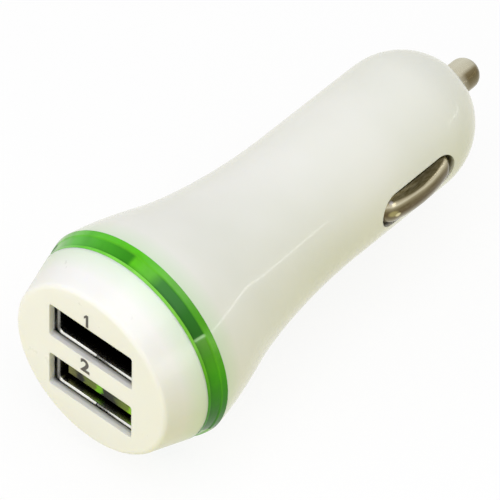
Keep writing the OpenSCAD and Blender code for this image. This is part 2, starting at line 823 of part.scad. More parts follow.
body_shell();
face_cap();
light_ring();
usb_shell(1);  // usb_shell_upper
usb_shell(-1);  // usb_shell_lower
usb_tongue(1);  // usb_tongue_upper
usb_tongue(-1);  // usb_tongue_lower
usb_contacts(1);  // usb_contacts_upper
usb_contacts(-1);  // usb_contacts_lower
circuit_board();
converter_chip();
power_inductor();
input_capacitor();
output_capacitor();
catch_diode();
input_fuse();
chip_resistors();
indicator_leds();
contact_carrier();
positive_terminal();
ground_strap(-1);  // ground_strap_left
ground_strap(1);  // ground_strap_right
centre_contact();
contact_spring();
side_contact(-1);  // side_contact_left
side_contact(1);  // side_contact_right
side_spring(-1);  // side_spring_left
side_spring(1);  // side_spring_right
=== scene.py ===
import json
import math

import bmesh
import bpy
from mathutils import Matrix, Vector


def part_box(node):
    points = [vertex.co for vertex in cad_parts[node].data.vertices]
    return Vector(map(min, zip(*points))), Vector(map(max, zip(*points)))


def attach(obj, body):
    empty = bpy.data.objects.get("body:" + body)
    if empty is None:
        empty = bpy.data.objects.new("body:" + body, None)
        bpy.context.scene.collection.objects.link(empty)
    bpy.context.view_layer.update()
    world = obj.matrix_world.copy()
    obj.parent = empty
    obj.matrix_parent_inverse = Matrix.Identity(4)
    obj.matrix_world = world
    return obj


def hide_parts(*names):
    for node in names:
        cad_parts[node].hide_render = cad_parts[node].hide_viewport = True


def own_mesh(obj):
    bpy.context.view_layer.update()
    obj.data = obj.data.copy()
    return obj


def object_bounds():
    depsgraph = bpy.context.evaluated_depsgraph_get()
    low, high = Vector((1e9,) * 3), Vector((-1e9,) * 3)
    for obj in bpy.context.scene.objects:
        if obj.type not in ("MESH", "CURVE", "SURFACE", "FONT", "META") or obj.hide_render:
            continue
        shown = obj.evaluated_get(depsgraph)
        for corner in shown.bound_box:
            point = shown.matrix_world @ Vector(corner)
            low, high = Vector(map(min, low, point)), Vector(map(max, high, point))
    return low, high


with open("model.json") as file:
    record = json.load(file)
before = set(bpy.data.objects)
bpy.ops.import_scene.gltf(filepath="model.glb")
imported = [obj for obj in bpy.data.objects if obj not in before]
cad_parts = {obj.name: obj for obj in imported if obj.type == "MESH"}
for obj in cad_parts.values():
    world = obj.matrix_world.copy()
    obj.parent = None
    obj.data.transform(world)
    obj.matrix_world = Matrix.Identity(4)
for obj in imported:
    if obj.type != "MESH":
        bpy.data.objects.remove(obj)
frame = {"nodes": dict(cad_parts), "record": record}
cad_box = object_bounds()

MM = 0.001
# Where the flat port face lies along Y
FACE_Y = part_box("face_cap")[0].y

# Camera: its direction, and the pixel of the 500 x 500 photograph where the axis is at TARGET_Y
IMAGE_SIZE = 500
VIEW_AZIMUTH = 40.73
VIEW_ELEVATION = 46.5
VIEW_ROLL = 1.589
VIEW_DISTANCE = 1000 * MM
PIXELS_PER_MM = 7.833
TARGET_Y = 35 * MM
TARGET_PIXEL = (276.156, 223.067)
SENSOR = 36.0

# Flared mouth of a port: its section, as mm outside the shell and mm in front of it, and its outline
MOUTH_SECTION = (
    (-0.3, 0.0), (-0.3, 0.06), (-0.25, 0.15), (-0.15, 0.23), (-0.02, 0.28), (0.1, 0.3),
    (0.1, 0.2), (0.04, 0.18), (0.0, 0.1), (0.0, 0.0),
)
MOUTH_CORNER = 0.8 * MM
MOUTH_SEAM = 0.12 * MM
MOUTH_CORNER_STEPS = 8
# The straight runs of the mouth begin this far from its corners, so that they shade flat
MOUTH_LEAD = 0.2 * MM

FLOOR_GAP = 0.02 * MM
FLOOR_WIDTH = 3.0
# What the object's underside sees of the floor, and how much of the floor's white is its own
FLOOR_BOUNCE = (0.64, 0.62, 0.2, 1.0)
FLOOR_WHITE_SHARE = 0.88
# From this far off the floor is all white
FLOOR_SHADOW_REACH = 0.6
SKY_STRENGTH = 0.48
FRONT_TINT = (1.0, 0.97, 1.05)

# How far the painted green light of the ring reaches into the mouldings beside it, and its share of their
# colour
GLOW_REACH = 3.2 * MM
GLOW_SHARE = 0.28

# Walls that lie in shade: how far below the barrel's skin and the face they are at their dullest
SLOT_SKIN = 9.5 * MM
SLOT_SHADE_DEPTH = 0.5 * MM
SLOT_MARGIN = 0.5 * MM
WINDOW_DEPTH = 1.0 * MM
WINDOW_MARGIN = 0.4 * MM
# Height of a port's shell, without the legs that reach to the board
PORT_HEIGHT = 5.6 * MM

# Looks that change round the axis: the angles, in degrees, where each half turn starts and ends
HALF_TURN_START = -30.0
HALF_TURN_END = 150.0
# How far the looks of a side contact and of a tongue reach to each side of their middle, in mm
CONTACT_HALF_WIDTH = 2.6
TONGUE_HALF_WIDTH = 6.0
# Share of the ring's length where its front rim ends, and where its rear rim starts
RING_FRONT_RIM = (0.13, 0.19)
RING_REAR_RIM = (0.68, 0.76)

# The centre contact's rounded end and its root at the nose, as distances back from its tip
TIP_ROUND_FROM = 1.2 * MM
TIP_ROUND_TO = 0.4 * MM
TIP_ROOT_FROM = 4.4 * MM
TIP_ROOT_TO = 3.2 * MM
TIP_ROOT_SHARE = 0.7

# Printed numbers: their height and thickness, and where they stand on the face, in mm
NUMBER_HEIGHT = 2.2 * MM
NUMBER_THICKNESS = 0.02 * MM
NUMBER_ONE_PLACE = (-0.6, 8.6)
NUMBER_TWO_PLACE = (-0.9, 0.1)
# Height of a digit as a share of the font's size, and how much bolder the 2 is drawn
DIGIT_SHARE = 0.72
BOLD_SHARE = 0.05

# Edges that turn by less than this, in degrees, are shaded smooth
SMOOTH_ANGLE = 24
# Corners closer than this, in metres, are joined
JOIN_DISTANCE = 1e-7
# Samples of the shading that rounds sharp edges
EDGE_SAMPLES = 6


def add_camera():
    """The photograph's view: far off, from the right and above, a little turned."""
    a, e, roll = (math.radians(v) for v in (VIEW_AZIMUTH, VIEW_ELEVATION, VIEW_ROLL))
    back = Vector((math.sin(a) * math.cos(e), -math.cos(a) * math.cos(e), math.sin(e)))
    level = Vector((math.cos(a), math.sin(a), 0))
    upright = back.cross(level)
    right = math.cos(roll) * level + math.sin(roll) * upright
    up = -math.sin(roll) * level + math.cos(roll) * upright
    offset = [(p - IMAGE_SIZE / 2) / PIXELS_PER_MM * MM for p in TARGET_PIXEL]
    place = Vector((0, FACE_Y + TARGET_Y, 0)) + back * VIEW_DISTANCE - right * offset[0] + up * offset[1]
    data = bpy.data.cameras.new("camera")
    data.sensor_width = SENSOR
    data.lens = PIXELS_PER_MM / MM * VIEW_DISTANCE / IMAGE_SIZE * SENSOR
    camera = bpy.data.objects.new("camera", data)
    bpy.context.scene.collection.objects.link(camera)
    turn = Matrix((right, up, back)).transposed().to_4x4()
    camera.matrix_world = Matrix.Translation(place) @ turn
    data.clip_start = VIEW_DISTANCE / 10
    data.clip_end = VIEW_DISTANCE * 10
    bpy.context.scene.camera = camera


class Shader:
    """Builds a node material line by line."""

    def __init__(self, name):
        self.material = bpy.data.materials.new(name)
        self.material.use_nodes = True
        self.tree = self.material.node_tree
        self.tree.nodes.clear()
        self.output = self.tree.nodes.new("ShaderNodeOutputMaterial")

    def node(self, kind, inputs=None, **settings):
        """A shader node. An input is a plain value or another node's socket."""
        made = self.tree.nodes.new("ShaderNode" + kind)
        for key, value in settings.items():
            setattr(made, key, value)
        for key, value in (inputs or {}).items():
            if isinstance(value, bpy.types.NodeSocket):
                self.tree.links.new(value, made.inputs[key])
            else:
                made.inputs[key].default_value = value
        return made

    def place(self):
        """The point on the object, in metres, in the part's own frame."""
        return self.node("TexCoord").outputs["Object"]

    def noise(self, per_mm, detail=3.0, rough=0.5, place=None):
        """Noise from 0 to 1, with its scale as cells per mm."""
        return self.node("TexNoise", {
            "Vector": place or self.place(), "Scale": per_mm / MM, "Detail": detail, "Roughness": rough,
        }).outputs["Fac"]

    def ramp(self, value, low, high, to_low=0.0, to_high=1.0):
        """The value carried from one range to another, and held at the ends."""
        return self.node("MapRange", {
            "Value": value, "From Min": low, "From Max": high, "To Min": to_low, "To Max": to_high,
        }).outputs["Result"]

    def mix(self, share, first, second):
        """The first colour where the share is 0 and the second where it is 1."""
        made = self.node("Mix", data_type="RGBA")
        for socket, value in ((made.inputs[0], share), (made.inputs[6], first), (made.inputs[7], second)):
            if isinstance(value, bpy.types.NodeSocket):
                self.tree.links.new(value, socket)
            else:
                socket.default_value = value
        return made.outputs[2]

    def stops(self, value, places, low, high):
        """Colour by place: each of places gives a value from low to high and the colour there."""
        made = self.node("ValToRGB", {"Fac": self.ramp(value, low, high)})
        elements = made.color_ramp.elements
        while len(elements) < len(places):
            elements.new(0.5)
        for element, (at, colour) in zip(elements, places):
            element.position = (at - low) / (high - low)
            element.color = colour
        return made.outputs["Color"]

    def vector(self, operation, first, second):
        return self.node("VectorMath", {0: first, 1: second}, operation=operation).outputs[0]

    def axes(self):
        """The three coordinates of the place on the object."""
        split = self.node("SeparateXYZ", {"Vector": self.place()})
        return [split.outputs[name] for name in "XYZ"]

    def half_turn_angle(self):
        """Angle round the plug's axis from +X towards +Z, from -30 to 150 degrees and then again."""
        x, _, z = self.axes()
        degrees = self.math("MULTIPLY", self.math("ARCTAN2", z, x), math.degrees(1))
        return self.math("WRAP", degrees, HALF_TURN_END, HALF_TURN_START)

    def spot(self, centre, stretch, radius):
        """1 within the radius of a centre, in mm, fading to 0 at twice that, drawn out by stretch."""
        away = self.vector("SUBTRACT", self.place(), Vector(centre) * MM)
        scaled = self.vector("DIVIDE", away, stretch)
        far = self.node("VectorMath", {0: scaled}, operation="LENGTH").outputs["Value"]
        return self.ramp(far, radius * MM, 2 * radius * MM, 1.0, 0.0)

    def math(self, operation, *values):
        made = self.node("Math", operation=operation)
        for socket, value in zip(made.inputs, values):
            if isinstance(value, bpy.types.NodeSocket):
                self.tree.links.new(value, socket)
            else:
                socket.default_value = value
        return made.outputs[0]

    def bump(self, height, strength, distance, normal=None):
        """Normal tilted by a relief, its height in mm, on top of another normal."""
        inputs = {"Height": height, "Strength": strength, "Distance": distance * MM}
        if normal:
            inputs["Normal"] = normal
        return self.node("Bump", inputs).outputs["Normal"]

    def edge(self, radius):
        """Normal that rounds sharp edges by a radius in mm."""
        return self.node("Bevel", {"Radius": radius * MM}, samples=EDGE_SAMPLES).outputs["Normal"]

    def surface(self, **inputs):
        """The finished material, with the inputs of its Principled shader."""
        principled = self.node("BsdfPrincipled", {k.replace("_", " "): v for k, v in inputs.items()})
        self.tree.links.new(principled.outputs[0], self.output.inputs[0])
        return self.material


def rgb(red, green, blue):
    """A colour as it reads on a screen, from 0 to 255, as linear light."""
    def linear(v):
        v /= 255
        return v / 12.92 if v <= 0.04045 else ((v + 0.055) / 1.055) ** 2.4
    return (linear(red), linear(green), linear(blue), 1.0)


def ring_glow(s, colour):
    """Painted green light, standing for the light that the ring sheds into the white mouldings on both sides
    of it.
    """
    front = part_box("light_ring")[0].y
    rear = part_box("body_shell")[0].y
    y = s.axes()[1]
    before = s.ramp(y, front - GLOW_REACH, front, 0.0, GLOW_SHARE)
    behind = s.ramp(y, rear, rear + GLOW_REACH, GLOW_SHARE, 0.0)
    return s.mix(s.math("MINIMUM", before, behind), colour, rgb(150, 226, 120))


def slot_shade(s):
    """Painted shade on the walls of the two slots for the side contacts: 0 at the skin of the barrel, 1 below
    it.
    """
    low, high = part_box("side_contact_right")
    x, y, z = s.axes()
    from_axis = s.math("SQRT", s.math("ADD", s.math("MULTIPLY", x, x), s.math("MULTIPLY", z, z)))
    deep = s.ramp(from_axis, SLOT_SKIN, SLOT_SKIN - SLOT_SHADE_DEPTH)
    along = s.math("ABSOLUTE", s.math("SUBTRACT", y, (low.y + high.y) / 2))
    within = s.math("LESS_THAN", along, (high.y - low.y) / 2 + SLOT_MARGIN)
    beside = s.math("LESS_THAN", s.math("ABSOLUTE", z), (high.z - low.z) / 2 + SLOT_MARGIN)
    return s.math("MULTIPLY", deep, s.math("MULTIPLY", within, beside))


def window_shade(s):
    """Painted shade on the walls of the two port windows: 0 at the face, 1 at the back of the face plate."""
    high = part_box("usb_shell_upper")[1]
    x, y, z = s.axes()
    middle = high.z - PORT_HEIGHT / 2
    from_port = s.math("ABSOLUTE", s.math("SUBTRACT", s.math("ABSOLUTE", z), middle))
    beside = s.math("LESS_THAN", from_port, PORT_HEIGHT / 2 + WINDOW_MARGIN)
    within = s.math("LESS_THAN", s.math("ABSOLUTE", x), high.x + WINDOW_MARGIN)
    deep = s.ramp(y, FACE_Y + 0.5 * WINDOW_DEPTH, FACE_Y + 1.1 * WINDOW_DEPTH)
    return s.math("MULTIPLY", deep, s.math("MULTIPLY", beside, within))


def gloss_moulding(name, light, deep, roughness, coat, shade, shade_colour, depth):
    """Polished moulding: a faint flow of tone, a soft skin and fine wear in the gloss.

    shade gives the places that take shade_colour as painted shade, and depth is the share of light that
    enters the skin.
    """
    s = Shader(name)
    colour = s.mix(s.ramp(s.noise(0.06, 2.0), 0.35, 0.65), light, deep)
    colour = s.mix(shade(s), colour, shade_colour)
    wear = s.noise(0.35, 4.0, 0.55)
    normal = s.bump(s.noise(0.12, 2.0), 0.08, 0.05, s.edge(0.12))
    return s.surface(
        Base_Color=ring_glow(s, colour), Roughness=s.ramp(wear, 0.3, 0.7, roughness * 0.9, roughness * 1.12),
        Coat_Weight=coat, Coat_Roughness=0.05, IOR=1.5, Normal=normal,
        Subsurface_Weight=depth, Subsurface_Scale=0.8 * MM, Subsurface_Radius=(1.0, 0.9, 0.7),
    )


def matt_moulding(name, light, deep, roughness=0.5, grain=6.0):
    """Fine spark-eroded surface of a matt moulding."""
    s = Shader(name)
    colour = s.mix(s.ramp(s.noise(0.4, 3.0), 0.35, 0.65), light, deep)
    normal = s.bump(s.noise(grain, 4.0, 0.6), 0.35, 0.02, s.edge(0.05))
    return s.surface(Base_Color=colour, Roughness=roughness, Normal=normal)


def plated(name, light, deep, roughness, brush=(1.0, 1.0, 1.0), edge=0.08):
    """Plated metal: fine lines along the way it was drawn, and clouded tarnish."""
    s = Shader(name)
    lines = s.noise(8.0, 3.0, 0.6, s.vector("MULTIPLY", s.place(), brush))
    cloud = s.noise(0.35, 4.0, 0.55)
    colour = s.mix(s.ramp(cloud, 0.35, 0.68), light, deep)
    tarnish = s.ramp(cloud, 0.3, 0.7, roughness * 0.75, roughness * 1.2)
    rough = s.math("ADD", tarnish, s.ramp(lines, 0.3, 0.7, -0.03, 0.05))
    normal = s.bump(lines, 0.25, 0.004, s.edge(edge))
    return s.surface(Base_Color=colour, Metallic=1.0, Roughness=rough, Normal=normal)


def green_light_guide():
    """Clear green moulding, with painted light round the axis: deep where a hollow lies behind it and bright
    where the skirt backs it, with a painted highlight line at about 37 degrees and a paler painted reflection
    towards 150 degrees.

    The two halves of the ring are alike, so the pattern repeats every half turn.
    """
    s = Shader("green_ring_look")
    angle = s.half_turn_angle()
    # Painted light round the axis: green light through the ring, a painted highlight line near 37 degrees and
    # a paler painted reflection towards 150 degrees
    middle = s.stops(angle, (
        (-30, rgb(30, 112, 12)), (-6, rgb(48, 134, 0)), (14, rgb(68, 164, 0)), (33, rgb(84, 152, 34)),
        (36, rgb(92, 156, 52)), (36.7, rgb(170, 214, 156)), (37.6, rgb(150, 200, 134)),
        (38.2, rgb(36, 106, 14)), (60, rgb(50, 120, 44)), (70, rgb(58, 130, 48)), (76, rgb(94, 182, 46)),
        (88, rgb(92, 196, 20)), (90, rgb(46, 138, 8)), (110, rgb(70, 170, 30)), (130, rgb(96, 192, 66)),
        (150, rgb(150, 212, 130)),
    ), HALF_TURN_START, HALF_TURN_END)
    rim = s.stops(angle, (
        (-30, rgb(38, 122, 18)), (-6, rgb(50, 136, 0)), (14, rgb(70, 166, 0)), (32, rgb(104, 180, 48)),
        (44, rgb(80, 164, 20)), (64, rgb(108, 184, 70)), (88, rgb(88, 196, 18)), (120, rgb(94, 196, 50)),
        (150, rgb(160, 214, 140)),
    ), HALF_TURN_START, HALF_TURN_END)
    front = s.stops(angle, (
        (-30, rgb(56, 142, 30)), (0, rgb(68, 162, 8)), (20, rgb(104, 186, 30)), (40, rgb(124, 200, 60)),
        (90, rgb(130, 218, 76)), (120, rgb(100, 206, 50)), (150, rgb(160, 218, 140)),
    ), HALF_TURN_START, HALF_TURN_END)
    y = s.axes()[1]
    along = s.ramp(y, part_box("light_ring")[0].y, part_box("body_shell")[0].y)
    crease = sum(RING_REAR_RIM) / 2
    line = s.ramp(s.math("ABSOLUTE", s.math("SUBTRACT", along, crease)), 0.0, 0.05, 0.35, 0.0)
    colour = s.mix(s.ramp(along, *RING_FRONT_RIM), front, middle)
    colour = s.mix(s.ramp(along, *RING_REAR_RIM), colour, rim)
    colour = s.mix(line, colour, rgb(100, 190, 20))
    cloud = s.noise(0.5, 2.0)
    colour = s.mix(s.ramp(cloud, 0.4, 0.7, 0.0, 0.2), colour, rgb(40, 120, 10))
    return s.surface(
        Base_Color=colour, Roughness=0.16, IOR=1.5, Specular_IOR_Level=0.16,
        Subsurface_Weight=0.12, Subsurface_Scale=0.4 * MM, Subsurface_Radius=(0.4, 1.0, 0.2),
        Normal=s.bump(s.noise(0.3, 2.0), 0.06, 0.05, s.edge(0.05)),
    )


def side_nickel():
    """Warm nickel plating, drawn along the barrel, with dark and bright painted reflections across the dome
    and painted highlights near its front end.
    """
    s = Shader("side_nickel_look")
    x, _, z = s.axes()
    drawn = s.vector("MULTIPLY", s.place(), (1.0, 0.12, 1.0))
    waver = s.ramp(s.noise(0.5, 2.0, 0.5, drawn), 0.3, 0.7, -0.3, 0.3)
    across = s.math("ADD", s.math("MULTIPLY", z, 1 / MM), waver)
    half = CONTACT_HALF_WIDTH
    # Painted reflections: dark and bright lines across the dome, by height
    painted_reflections = s.stops(across, (
        (-half, rgb(96, 88, 70)), (-1.5, rgb(152, 144, 122)), (-0.5, rgb(128, 118, 92)),
        (0.1, rgb(84, 68, 38)), (0.6, rgb(100, 88, 60)), (1.0, rgb(148, 138, 110)),
        (1.35, rgb(206, 198, 172)), (1.65, rgb(176, 166, 138)), (1.9, rgb(80, 72, 42)),
        (half, rgb(50, 44, 24)),
    ), -half, half)
    lines = s.noise(8.0, 3.0, 0.6, drawn)
    colour = s.mix(s.ramp(lines, 0.35, 0.7, 0.0, 0.25), painted_reflections, rgb(150, 142, 118))
    side = s.math("SIGN", x)
    # Painted highlights near the front end of each dome, lilac-white and gold
    for centre, stretch, radius, tint in (
        ((9.9, 46.1, 2.1), (1.0, 1.0, 1.0), 0.35, rgb(214, 210, 224)),
        ((10.1, 46.2, 0.2), (1.0, 1.7, 1.0), 0.3, rgb(160, 150, 102)),
        ((10.3, 46.9, -0.2), (1.0, 1.3, 1.0), 0.2, rgb(216, 206, 162)),
    ):
        for way in (-1, 1):
            highlight = s.spot((way * centre[0], centre[1] + FACE_Y / MM, centre[2]), stretch, radius)
            highlight = s.math("MULTIPLY", highlight, s.math("GREATER_THAN", s.math("MULTIPLY", side, way), 0.0))
            colour = s.mix(highlight, colour, tint)
    rough = s.ramp(s.noise(0.5, 3.0), 0.3, 0.7, 0.14, 0.24)
    return s.surface(
        Base_Color=colour, Metallic=1.0, Roughness=rough, Normal=s.bump(lines, 0.25, 0.004, s.edge(0.08)),
    )


def tip_nickel():
    """The same plating on the turned centre contact, with painted reflections: darker over part of each half
    turn round the axis and on its rounded end, and lighter towards its root at the nose.
    """
    s = Shader("tip_nickel_look")
    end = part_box("centre_contact")[1].y
    # Painted reflections round the axis, repeating every half turn
    painted_reflection_band = s.stops(s.half_turn_angle(), (
        (-30, rgb(170, 162, 138)), (-8, rgb(138, 128, 102)), (12, rgb(124, 114, 88)), (36, rgb(100, 88, 60)),
        (52, rgb(120, 108, 80)), (66, rgb(186, 180, 158)), (100, rgb(204, 200, 180)),
        (150, rgb(190, 184, 162)),
    ), HALF_TURN_START, HALF_TURN_END)
    y = s.axes()[1]
    rounded = s.ramp(y, end - TIP_ROUND_FROM, end - TIP_ROUND_TO)
    colour = s.mix(rounded, painted_reflection_band, rgb(138, 128, 104))
    root = s.ramp(y, end - TIP_ROOT_FROM, end - TIP_ROOT_TO, TIP_ROOT_SHARE, 0.0)
    colour = s.mix(root, colour, rgb(196, 190, 168))
    turned = s.vector("MULTIPLY", s.place(), (0.2, 1.0, 0.2))
    lines = s.noise(9.0, 3.0, 0.6, turned)
    return s.surface(
        Base_Color=colour, Metallic=1.0, Roughness=s.ramp(lines, 0.3, 0.7, 0.2, 0.3),
        Normal=s.bump(lines, 0.2, 0.004, s.edge(0.1)),
    )


def port_steel_look():
    """Nickel-plated steel of a port, with a painted highlight along its mouth, painted shade that deepens
    with the depth, and painted shade at the ends.
    """
    s = Shader("port_steel_look")
    low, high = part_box("usb_shell_upper")
    front = low.y / MM
    x, y, _ = s.axes()
    # Painted highlight at the front edge, then painted shade deepening into the port
    colour = s.stops(s.math("MULTIPLY", y, 1 / MM), (
        (front - 0.4, rgb(250, 250, 246)), (front + 0.05, rgb(236, 236, 230)),
        (front + 0.3, rgb(140, 138, 130)), (front + 0.7, rgb(62, 60, 55)), (front + 1.4, rgb(20, 20, 19)),
        (front + 2.6, rgb(10, 10, 10)),
    ), front - 0.4, front + 2.6)
    # Painted shade at the two ends of the mouth
    ends = s.ramp(s.math("ABSOLUTE", x), high.x - 0.5 * MM, high.x - 0.3 * MM, 0.0, 0.75)
    colour = s.mix(ends, colour, rgb(60, 58, 50))
    lines = s.noise(6.0, 3.0, 0.6)
    colour = s.mix(s.ramp(lines, 0.4, 0.7, 0.0, 0.12), colour, rgb(40, 38, 34))
    rough = s.ramp(lines, 0.3, 0.7, 0.22, 0.34)
    return s.surface(Base_Color=colour, Metallic=1.0, Roughness=rough, Normal=s.bump(lines, 0.2, 0.004))


def green_tongue():
    """Green moulding, dark in two places across its front."""
    s = Shader("green_moulding_look")
    x = s.axes()[0]
    waver = s.ramp(s.noise(1.1, 2.0), 0.3, 0.7, -0.35, 0.35)
    across = s.math("ADD", s.math("MULTIPLY", x, 1 / MM), waver)
    half = TONGUE_HALF_WIDTH
    colour = s.stops(across, (
        (-half, rgb(120, 122, 70)), (-4.6, rgb(96, 98, 50)), (-4.2, rgb(14, 16, 6)), (-3.2, rgb(16, 18, 8)),
        (-2.9, rgb(92, 104, 36)), (-1.0, rgb(98, 118, 32)), (-0.5, rgb(118, 190, 16)),
        (-0.1, rgb(110, 180, 12)), (0.2, rgb(20, 24, 10)), (2.2, rgb(26, 30, 16)), (2.8, rgb(84, 98, 26)),
        (4.4, rgb(104, 126, 24)), (5.0, rgb(140, 200, 16)), (half, rgb(150, 206, 20)),
    ), -half, half)
    return s.surface(
        Base_Color=colour, Roughness=0.4, Normal=s.bump(s.noise(6.0, 4.0, 0.6), 0.3, 0.02, s.edge(0.05)),
    )


def board_mask():
    """Solder mask with traces showing through it."""
    s = Shader("board_look")
    cells = s.node("TexVoronoi", {"Vector": s.place(), "Scale": 0.9 / MM}, feature="F1", distance="CHEBYCHEV")
    trace = s.ramp(cells.outputs["Distance"], 0.34, 0.38)
    colour = s.mix(trace, rgb(22, 92, 44), rgb(14, 66, 30))
    return s.surface(Base_Color=colour, Roughness=0.3, Normal=s.bump(trace, 0.4, 0.02))


def speckled(name, light, dark, roughness):
    """Pressed ferrite or glazed ceramic."""
    s = Shader(name)
    grain = s.noise(4.0, 5.0, 0.65)
    colour = s.mix(s.ramp(grain, 0.4, 0.6), light, dark)
    return s.surface(Base_Color=colour, Roughness=roughness, Normal=s.bump(grain, 0.3, 0.02, s.edge(0.05)))


def lamp_lens():
    """Clear lens of a surface-mounted lamp, over its pale green phosphor."""
    s = Shader("lamp_look")
    colour = s.mix(s.ramp(s.noise(1.2, 2.0), 0.4, 0.6), rgb(190, 240, 170), rgb(150, 220, 120))
    return s.surface(Base_Color=colour, Roughness=0.15, Transmission_Weight=0.4, Normal=s.edge(0.08))


def printed_ink():
    """Grey pad-printed ink, a little uneven."""
    s = Shader("printed_ink")
    colour = s.mix(s.ramp(s.noise(5.0, 4.0), 0.35, 0.65), rgb(70, 66, 64), rgb(92, 88, 84))
    return s.surface(Base_Color=colour, Roughness=0.5, Normal=s.bump(s.noise(9.0, 3.0), 0.3, 0.01))


def node_looks():
    """One material for each of the record's material slots."""
    # The white shell takes painted shade in its slots, and the ivory cap painted shade in its port windows
    white = gloss_moulding(
        "white_shell_look", rgb(243, 243, 236), rgb(236, 237, 227), 0.22, 0.6,
        slot_shade, rgb(126, 120, 96), 0.15,
    )
    ivory = gloss_moulding(
        "ivory_cap_look", rgb(244, 244, 242), rgb(241, 241, 237), 0.3, 0.4,
        window_shade, rgb(116, 112, 96), 0.6,
    )
    gold = plated("contact_gold_look", rgb(232, 190, 96), rgb(212, 164, 72), 0.25, edge=0.03)
    spring = plated("spring_look", rgb(190, 188, 182), rgb(160, 158, 152), 0.3, edge=0.02)
    can = plated("can_look", rgb(222, 222, 222), rgb(200, 200, 202), 0.35, (1.0, 1.0, 0.1))
    black = matt_moulding("black_moulding_look", rgb(24, 24, 24), rgb(34, 34, 33))
    return {
        "white_shell": white,
        "ivory_cap": ivory,
        "green_ring": green_light_guide(),
        "port_steel": port_steel_look(),
        "black_moulding": black,
        "green_moulding": green_tongue(),
        "contact_gold": gold,
        "board_green": board_mask(),
        "can_aluminium": can,
        "ferrite": speckled("ferrite_look", rgb(70, 70, 74), rgb(46, 46, 50), 0.6),
        "fuse_body": speckled("fuse_look", rgb(222, 200, 146), rgb(206, 182, 126), 0.25),
        "lamp_lens": lamp_lens(),
        "carrier_white": matt_moulding("carrier_look", rgb(226, 226, 220), rgb(214, 214, 206), 0.45, 3.0),
        "nickel": side_nickel(),
        "spring_wire": spring,
    }


def smooth_group():
    """Modifier that joins a node's coincident corners and smooths all but its real edges."""
    group = bpy.data.node_groups.new("smooth_edges", "GeometryNodeTree")
    group.interface.new_socket("Geometry", in_out="INPUT", socket_type="NodeSocketGeometry")
    group.interface.new_socket("Geometry", in_out="OUTPUT", socket_type="NodeSocketGeometry")

    def add(kind, **settings):
        made = group.nodes.new(kind)
        for key, value in settings.items():
            setattr(made, key, value)
        return made

    start = add("NodeGroupInput")
    merge = add("GeometryNodeMergeByDistance")
    merge.inputs["Distance"].default_value = JOIN_DISTANCE
    drop = add("GeometryNodeRemoveAttribute")
    drop.inputs["Name"].default_value = "custom_normal"
    smooth = add("GeometryNodeSetShadeSmooth", domain="FACE")
    angle = add("GeometryNodeInputMeshEdgeAngle")
    limit = add("FunctionNodeCompare", data_type="FLOAT", operation="LESS_THAN")
    limit.inputs[1].default_value = math.radians(SMOOTH_ANGLE)
    sharp = add("GeometryNodeSetShadeSmooth", domain="EDGE")
    end = add("NodeGroupOutput")
    link = group.links.new
    link(start.outputs[0], merge.inputs["Geometry"])
    link(merge.outputs[0], drop.inputs["Geometry"])
    link(drop.outputs[0], smooth.inputs["Geometry"])
    link(smooth.outputs[0], sharp.inputs["Geometry"])
    link(angle.outputs["Unsigned Angle"], limit.inputs[0])
    link(limit.outputs[0], sharp.inputs["Shade Smooth"])
    link(sharp.outputs[0], end.inputs[0])
    return group


def dress_nodes(slots, smooth):
    """Material and smoothing for every CAD node."""
    looks = node_looks()
    own_looks = {"centre_contact": tip_nickel()}
    for name, piece in frame["nodes"].items():
        for i in range(len(piece.data.materials)):
            piece.data.materials[i] = own_looks.get(name, looks[slots[name]])
        modifier = piece.modifiers.new("smooth edges", "NODES")
        modifier.node_group = smooth


def add_coils(smooth):
    """The springs, each a copy of its node that stands in its place, carried by the body."""
    for joint in frame["record"]["behaviour"]["joints"]:
        way = max(range(3), key=lambda i: abs(joint["axis"][i]))
        for part in joint.get("deforming_nodes", []):
            node = frame["nodes"][part["node"]]
            low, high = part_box(part["node"])
            fixed = part["fixed_end_" + "xyz"[way] + "_m"]
            anchor = (low + high) / 2
            anchor[way] = min(low[way], high[way], key=lambda end: abs(end - fixed))
            coil = bpy.data.objects.new(part["node"] + "_coil", node.data.copy())
            bpy.context.scene.collection.objects.link(coil)
            coil.modifiers.new("smooth edges", "NODES").node_group = smooth
            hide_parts(part["node"])
            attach(coil, "body")
            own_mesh(coil)


def number_one(height):
    """Outline of a plain 1 with a flag, round its own middle."""
    stem = height * 0.19
    half = height / 2
    flag = height * 0.3
    points = [
        (stem / 2, -half), (stem / 2, half), (-stem / 3, half), (-stem / 2 - flag / 2, half - flag * 0.75),
        (-stem / 2 - flag / 2, half - flag * 1.35), (-stem / 2, half - flag * 0.85), (-stem / 2, -half),
    ]
    data = bpy.data.curves.new("port_number_1", "CURVE")
    data.dimensions = "2D"
    data.fill_mode = "BOTH"
    line = data.splines.new("POLY")
    line.points.add(len(points) - 1)
    for point, (x, y) in zip(line.points, points):
        point.co = (x, y, 0, 1)
    line.use_cyclic_u = True
    return data


def number_two(height):
    """A plain 2, drawn a little bold."""
    data = bpy.data.curves.new("port_number_2", "FONT")
    data.body = "2"
    data.size = height / DIGIT_SHARE
    data.align_x = "CENTER"
    data.align_y = "CENTER"
    data.offset = height * BOLD_SHARE
    return data


def add_numbers():
    """Plain printed numbers beside the ports: 1 above the upper one, 2 between the two."""
    ink = printed_ink()
    upright = Matrix.Rotation(math.radians(90), 4, "X")
    numbers = (
        (number_one(NUMBER_HEIGHT), NUMBER_ONE_PLACE),
        (number_two(NUMBER_HEIGHT), NUMBER_TWO_PLACE),
    )
    for data, (x, z) in numbers:
        data.extrude = NUMBER_THICKNESS / 2
        data.materials.append(ink)
        piece = bpy.data.objects.new(data.name, data)
        bpy.context.scene.collection.objects.link(piece)
        place = Matrix.Translation((x * MM, FACE_Y + NUMBER_THICKNESS / 4, z * MM))
        piece.matrix_world = place @ upright
        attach(piece, "body")


